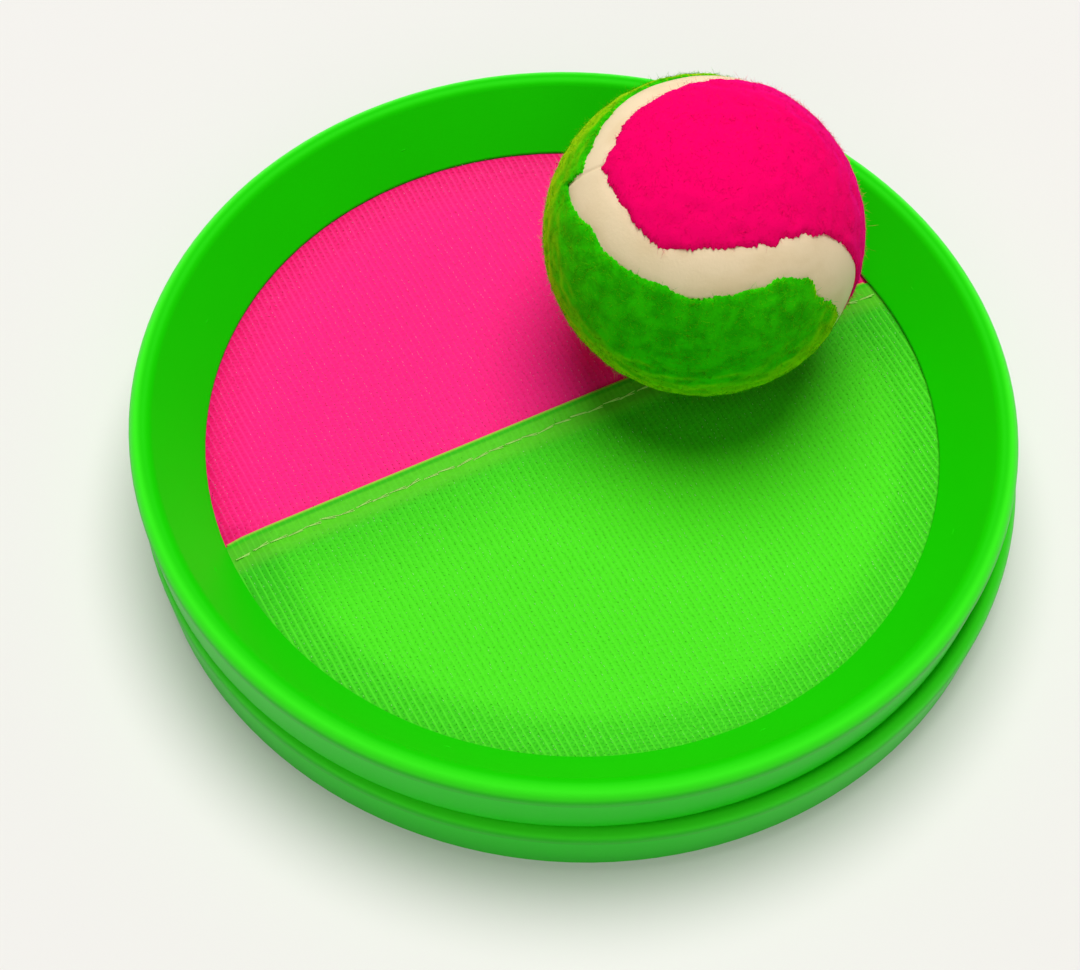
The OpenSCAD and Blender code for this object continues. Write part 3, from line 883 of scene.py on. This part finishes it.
# Corners of the hand-cut strip: share of the way round the seam, and millimetres from its middle
STRIP_CORNERS = {
    1: ((0.215, 4.5), (0.243, 5.5), (0.272, 7.4), (0.301, 6.5), (0.332, 7.0), (0.354, 4.7),
        (0.372, 6.1), (0.39, 6.4), (0.406, 5.9), (0.445, 2.6), (0.473, 4.1), (0.526, 2.9),
        (0.53, 3.9), (0.5635, 6.1), (0.598, 5.2), (0.63, 4.5)),
    -1: ((0.215, 4.5), (0.244, 2.4), (0.2635, 2.9), (0.318, 0.5), (0.333, 0.3), (0.349, 1.3), (0.351, 6.7),
         (0.356, 6.7), (0.39, 2.6), (0.4146, 4.4), (0.454, 4.9), (0.468, 7.0), (0.521, 5.5), (0.534, 3.8),
         (0.56, 4.0), (0.575, 6.3), (0.59, 6.8), (0.63, 4.5)),
}

# Section of the strip: share of the way across it, and millimetres below the felt
STRIP_SECTION = (
    (0, 1.7), (0, 0.95), (0.12, 0.6), (0.3, 0.52), (0.5, 0.48), (0.7, 0.52), (0.88, 0.6), (1, 0.95),
    (1, 1.7), (0.5, 1.8))
BUTT_JOINT = 0.351  # where the strip's ends meet, as a share of the way round


def felt_edge(side):
    """How far one panel's torn edge lies from the seam's middle, all the way round."""
    share, away = np.array(STRIP_CORNERS[side]).T
    cut = np.interp(np.arange(SEAM_STEPS) / SEAM_STEPS, share, away * MM)
    return cut + ragged(SEAM_STEPS, SEAM_LENGTH, TORN)


FELT_EDGE = {side: felt_edge(side) for side in (1, -1)}


def seam_places(normals):
    """The seam's nearest step to each point of a unit ball, and how far beside the seam the point is."""
    steps = np.array([SEAM_TREE.find(normal)[1] for normal in normals])
    beside = np.arcsin(np.clip(np.einsum("ij,ij->i", normals, SEAM_ACROSS[steps]), -1, 1)) * BALL_R
    return steps, beside


def lofted(name, rings):
    """Closed rings of points, each joined to the next and the last one to the first."""
    count = len(rings[0])
    faces = []
    for k in range(len(rings)):
        a, b = k * count, ((k + 1) % len(rings)) * count
        faces += [(a + i, a + (i + 1) % count, b + (i + 1) % count, b + i) for i in range(count)]
    piece = piece_from(name, np.concatenate(rings), faces)
    face_outwards(piece)
    return piece


def lumps(normals):
    """Shallow lumps in the felt, as a sum of waves over the ball."""
    rise = np.zeros(len(normals))
    for swing in np.random.default_rng(3).normal(size=(40, 4)):
        length = (5 + 2 * math.tanh(swing[3])) * MM
        rise += np.sin(normals @ unit(swing[:3]) * math.tau * BALL_R / length + 9 * swing[3])
    return rise * 0.016 * MM


def felt_places(panel, side):
    """For each point: its direction, the seam's nearest step and how far inside the torn edge it is."""
    normals = unit(points_of(panel))
    steps, beside = seam_places(normals)
    return normals, steps, side * beside - FELT_EDGE[side][steps]


def felt_cover(name, side):
    """One felt panel: a ball cut along the seam's torn edge, rounded there and given the felt's thickness."""
    start_clear()
    bpy.ops.mesh.primitive_ico_sphere_add(subdivisions=7, radius=BALL_R, location=(0, 0, 0))
    panel = bpy.context.object
    panel.name = name
    inside = felt_places(panel, side)[2]
    choose(panel, [min(abs(inside[v]) for v in face) < 0.9 * MM for face in corners_of(panel)])
    bpy.ops.mesh.subdivide(number_cuts=1)
    bpy.ops.object.mode_set(mode="OBJECT")
    inside = felt_places(panel, side)[2]
    choose(panel, [sum(inside[v] for v in face) < 0 for face in corners_of(panel)])
    bpy.ops.mesh.delete(type="FACE")
    bpy.ops.mesh.select_all(action="SELECT")
    bpy.ops.mesh.region_to_loop()
    bpy.ops.object.mode_set(mode="OBJECT")
    normals, steps, inside = felt_places(panel, side)
    loop = np.empty(len(normals), bool)
    panel.data.vertices.foreach_get("select", loop)
    loop &= abs(inside) < 0.5 * MM
    aside = side * FELT_EDGE[side][steps] / BALL_R
    onto = aside[:, None] * SEAM_ACROSS[steps] + SEAM_MIDDLE[steps]
    normals[loop] = unit(0.5 * normals[loop] + 0.5 * unit(onto[loop]))
    near = np.clip(1 - inside / (1.8 * MM), 0, 1)
    reach = BALL_R - 0.5 * MM * near ** 2 + lumps(normals)
    move_points(panel, on_ball(reach[:, None] * normals))
    apply_modifier(panel, "SOLIDIFY", thickness=BALL_R - FELT_IN_R, offset=-1.0)
    carry(panel, "tone_and_shade", np.zeros(len(panel.data.vertices)))
    smooth_all(panel)
    return panel


def under_felt(side):
    """A smooth edge for the strip, a little under one panel's torn edge."""
    shifts = range(-5, 6)
    reach = np.max([np.roll(FELT_EDGE[side], shift) for shift in shifts], axis=0)
    return np.mean([np.roll(reach, shift) for shift in shifts], axis=0) + 0.9 * MM


def seam_band(name):
    """The pale strip between the panels; its sides run on under the torn felt."""
    rings = []
    low, high = -under_felt(-1), under_felt(1)
    uneven = ragged(SEAM_STEPS, SEAM_LENGTH, ((12 * MM, 40 * MM, 0.04 * MM),))
    off_joint = (np.arange(SEAM_STEPS) / SEAM_STEPS - BUTT_JOINT) * SEAM_LENGTH
    joint = np.exp(-(off_joint / (0.3 * MM)) ** 2)
    for place, sunk in STRIP_SECTION:
        aside = (low + place * (high - low)) / BALL_R
        spread = unit(SEAM_MIDDLE + aside[:, None] * SEAM_ACROSS)
        reach = BALL_R - sunk * MM + (uneven - 0.35 * MM * joint) * (sunk < 1)
        rings.append(on_ball(reach[:, None] * spread))
    band = lofted(name, rings)
    smooth_all(band)
    return band


def felt_fuzz(name, side, coarse):
    """Loose hair on one panel, mostly lying down. Hair under the ball is flat, where the cloth presses it."""
    hair = drawn_out("hair", 3, HAIR_PATH, [coarse * width for width in HAIR_WIDTHS])
    normals = unit(chance.normal(size=(HAIRS * 3, 3)))
    steps, beside = seam_places(normals)
    normals = normals[side * beside > FELT_EDGE[side][steps] - 0.1 * MM][:HAIRS] @ BALL_TURN.T
    count = len(normals)
    stray = np.cross(normals, unit(chance.normal(size=(count, 3))))
    raised = chance.random(count) < 0.14
    lean = np.where(raised, chance.uniform(0.3, 1.2, count), chance.uniform(2.2, 5.0, count))
    lean += 8 * eased_share(-normals[:, 2], 0.86, 0.95)
    length = chance.gamma(5.0, 0.2, count)
    ahead = unit(normals + lean[:, None] * unit(stray))
    aside = unit(np.cross(ahead, unit(chance.normal(size=(count, 3)))))
    frames = np.stack([aside, np.cross(ahead, aside), ahead], axis=2)
    sizes = np.stack([np.ones(count), np.ones(count), length], axis=1)
    places = normals * (BALL_R - 0.12 * MM) + BALL_C
    # The hairs' random values make them paler, a painted highlight for lit hair.
    return copied(name, hair, places, frames, sizes, chance.random(count))


def dress_ball(finish):
    nodes = frame["nodes"]
    for half in ("ball_shell_half_a", "ball_shell_half_b"):
        give_finish(nodes[half], finish["rubber"])
    band = seam_band("ball_seam_band")
    give_finish(band, finish["seam"])
    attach(band, "ball")
    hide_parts("ball_seam")
    for colour, side, coarse in (("pink", 1, 0.78), ("green", -1, 1.1)):
        panel = felt_cover("ball_" + colour + "_cover", side)
        fuzz = felt_fuzz("ball_" + colour + "_fuzz", side, coarse)
        for piece in (panel, fuzz):
            give_finish(piece, finish[colour + "_felt"])
            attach(piece, "ball")
        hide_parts("ball_felt_" + colour)


# Floor

def lay_floor():
    """The pale ground under the set. A fifth of its brightness is its own, so that it stays even."""
    start_clear()
    bpy.ops.mesh.primitive_plane_add(size=8.0, location=(0, 0, 0))
    floor = bpy.context.object
    floor.name = "pale_floor"
    move_points(floor, points_of(floor) - np.array([0, 0, 0.2 * MM]))
    paper = bpy.data.materials.new("pale_floor")
    paper.use_nodes = True
    tree = paper.node_tree
    place = node(tree, "TexCoord").outputs["Object"]
    cloud = noise(tree, place, 9.0, detail=3.0)
    surface = tree.nodes["Principled BSDF"]
    surface.inputs["Roughness"].default_value = 0.8
    surface.inputs["Specular IOR Level"].default_value = 0.1
    pale = mixed(tree, cloud, srgb(238, 236, 232), srgb(236, 233, 229))
    tree.links.new(pale, surface.inputs["Base Color"])
    glow = node(tree, "Emission", {"Color": pale, "Strength": 1.08})
    lit = node(tree, "MixShader", {0: 0.2, 1: surface.outputs["BSDF"], 2: glow.outputs["Emission"]})
    tree.links.new(lit.outputs[0], tree.nodes["Material Output"].inputs["Surface"])
    give_finish(floor, paper)


set_camera()
light_studio()
finishes = make_finishes()
for paddle in PADDLES:
    dress_paddle(paddle, finishes)
dress_ball(finishes)
lay_floor()
